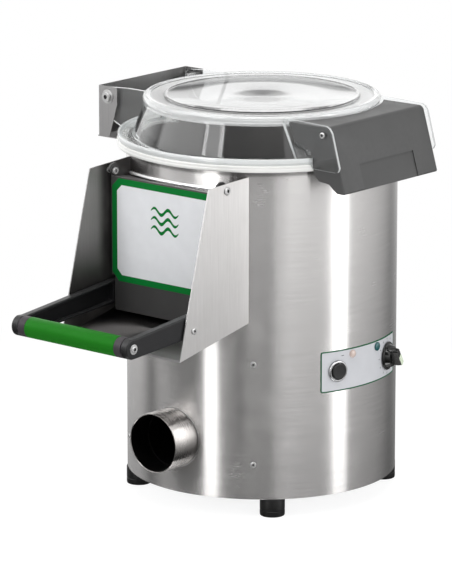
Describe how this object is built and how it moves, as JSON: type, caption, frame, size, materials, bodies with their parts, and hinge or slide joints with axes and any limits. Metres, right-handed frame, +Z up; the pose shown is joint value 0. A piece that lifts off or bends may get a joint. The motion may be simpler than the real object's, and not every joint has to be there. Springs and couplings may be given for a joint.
{
  "type": "mussel cleaning machine",
  "caption": "Tabletop mussel cleaning machine: brushed steel drum body, clear hinged lid, lifting discharge door over a chute, drain spout, start button and timer knob.",
  "frame": {"origin": "on the floor under the body's axis, in the plane of the feet", "axes": "+Z up along the body's axis, -Y out of the discharge chute and drain, +X towards the control panel and the lid's handle"},
  "size_m": [0.4545, 0.6275, 0.56],
  "materials": {
    "shell_steel": "horizontally brushed stainless sheet",
    "rim_steel": "satin stainless",
    "sheet_steel": "brushed stainless sheet",
    "gasket_white": "smooth white food grade rubber",
    "drain_plastic": "moulded grey",
    "zinc_plate": "zinc plated",
    "foot_rubber": "matt black",
    "bolt_steel": "turned stainless",
    "cast_housing": "painted casting",
    "bearing_steel": "ground",
    "seal_rubber": "matt black",
    "belt_rubber": "matt black",
    "motor_paint": "satin paint",
    "box_plastic": "moulded",
    "pad_nylon": "natural nylon",
    "panel_print": "printed film",
    "bezel_steel": "polished",
    "lamp_white": "frosted lens",
    "lamp_green": "clear green lens",
    "timer_plastic": "moulded",
    "valve_plastic": "moulded",
    "pipe_steel": "satin",
    "door_plastic": "fine moulded grain",
    "label_green": "printed film",
    "label_white": "printed film",
    "arm_plastic": "fine moulded grain",
    "grip_green": "soft satin",
    "grip_grey": "moulded",
    "lid_clear": "clear polycarbonate",
    "cover_plastic": "fine moulded grain",
    "magnet_grey": "ferrite",
    "pulley_aluminium": "turned",
    "button_black": "satin black",
    "knob_black": "satin black"
  },
  "bodies": {
    "body": {"outer_shell": "shell_steel", "body_rim": "rim_steel", "rim_gasket": "gasket_white", "drum_wall": "shell_steel", "door_frame": "shell_steel", "sump_pan": "rim_steel", "drain_elbow": "drain_plastic", "drain_spout": "sheet_steel", "chassis_plate": "zinc_plate", "base_plate": "zinc_plate", "feet": "foot_rubber", "foot_bolts": "bolt_steel", "frame_struts": "zinc_plate", "bearing_housing": "cast_housing", "shaft_bearings": "bearing_steel", "shaft_seal": "seal_rubber", "drive_belt": "belt_rubber", "motor_body": "motor_paint", "control_box": "box_plastic", "discharge_chute": "sheet_steel", "door_pivot_bolts": "bolt_steel", "guide_pads": "pad_nylon", "guide_screws": "bolt_steel", "hinge_bracket": "sheet_steel", "hinge_bolts": "bolt_steel", "panel_label": "panel_print", "button_bezel": "bezel_steel", "contact_block": "box_plastic", "lamp_white": "lamp_white", "lamp_green": "lamp_green", "timer_body": "timer_plastic", "shell_screws": "bolt_steel", "water_valve": "valve_plastic", "spray_pipe": "pipe_steel", "cable_gland": "valve_plastic", "lid_sensor": "box_plastic"},
    "door": {"door_panel": "door_plastic", "label_border": "label_green", "label_field": "label_white", "door_seal": "seal_rubber", "door_back": "door_plastic", "door_arms": "arm_plastic", "grip_sleeve": "grip_green", "grip_ends": "grip_grey", "grip_rod": "bearing_steel", "grip_screws": "bolt_steel", "arm_screws": "bolt_steel"},
    "lid": {"lid_dome": "lid_clear", "handle_cover": "cover_plastic", "cover_screws": "bolt_steel", "lid_magnet": "magnet_grey", "hinge_bushes": "pad_nylon"},
    "rotor": {"rotating_plate": "rim_steel", "drive_shaft": "bearing_steel", "driven_pulley": "pulley_aluminium", "plate_nut": "bolt_steel"},
    "motor_rotor": {"motor_shaft": "bearing_steel", "motor_pulley": "pulley_aluminium"},
    "start_button": {"button_cap": "button_black"},
    "timer_knob": {"timer_knob": "knob_black"}
  },
  "joints": [
    {"name": "lid_hinge", "type": "hinge", "parent": "body", "child": "lid", "pos_m": [-0.204, 0, 0.5427], "axis": [0, -1, 0], "range_deg": [0, 100]},
    {"name": "door_pivot", "type": "hinge", "parent": "body", "child": "door", "pos_m": [0, -0.202, 0.469], "axis": [-1, 0, 0], "range_deg": [0, 65]},
    {"name": "plate_spin", "type": "hinge", "parent": "body", "child": "rotor", "pos_m": [0, 0, 0.1], "axis": [0, 0, 1], "continuous": true},
    {"name": "motor_spin", "type": "hinge", "parent": "body", "child": "motor_rotor", "pos_m": [0, 0.105, 0.1], "axis": [0, 0, 1], "continuous": true},
    {"name": "start_button_press", "type": "slide", "parent": "body", "child": "start_button", "axis": [-0.9568, 0.2907, 0], "range_m": [0, 0.003], "stiffness_N_per_m": 400, "springref_m": -0.001},
    {"name": "timer_knob_turn", "type": "hinge", "parent": "body", "child": "timer_knob", "pos_m": [0.18208, 0.05428, 0.202], "axis": [-0.9583, -0.2857, 0], "range_deg": [0, 300]}
  ],
  "couplings": [
    {"joint": "motor_spin", "follows": "plate_spin", "ratio": 3}
  ]
}
